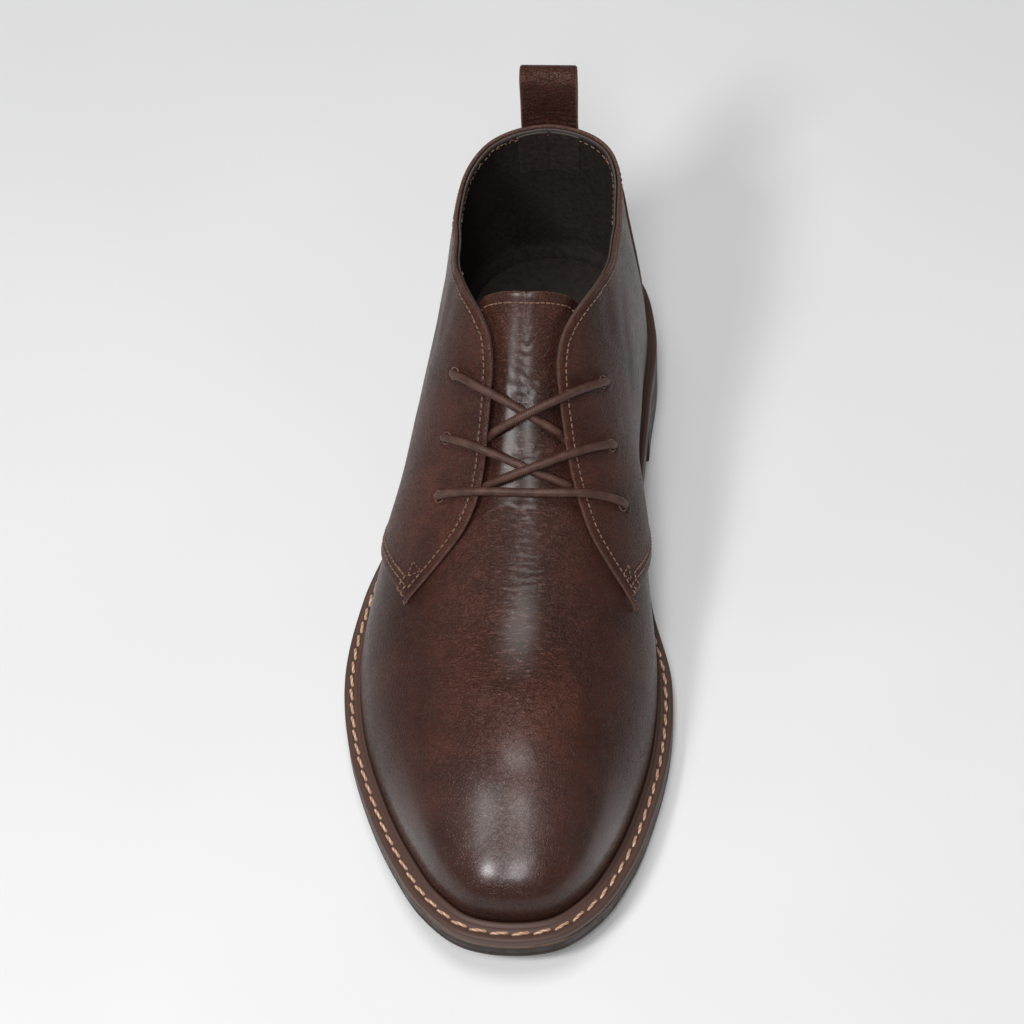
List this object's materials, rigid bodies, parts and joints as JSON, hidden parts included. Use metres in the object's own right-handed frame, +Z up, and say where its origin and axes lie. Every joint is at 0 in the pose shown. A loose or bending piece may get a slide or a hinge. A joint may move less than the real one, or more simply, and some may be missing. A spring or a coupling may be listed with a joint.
{
  "type": "chukka boot",
  "caption": "Leather chukka boot for the right foot: plain vamp, open-laced quarters with a round lace, welted sole, low heel and a pull loop behind the collar.",
  "frame": {"origin": "on the floor, under the middle of the boot's bounding box, as it stands on its sole", "axes": "+Y from the toe towards the heel, +Z up, +X towards the inner side of the foot"},
  "size_m": [0.1144, 0.29, 0.1329],
  "materials": {
    "sole_rubber": "satin, very dark brown",
    "welt_leather": "burnished edge, dark brown",
    "insole_leather": "matte, near black",
    "upper_leather": "polished full grain, dark brown",
    "lace_cord": "waxed round cord, dark brown"
  },
  "bodies": {
    "root": {"outsole": "sole_rubber", "heel": "sole_rubber", "welt": "welt_leather", "insole": "insole_leather", "upper": "upper_leather", "tongue": "upper_leather", "pull_loop": "upper_leather", "lace_bar": "lace_cord", "lace_middle": "lace_cord", "lace_top": "lace_cord"}
  },
  "joints": []
}
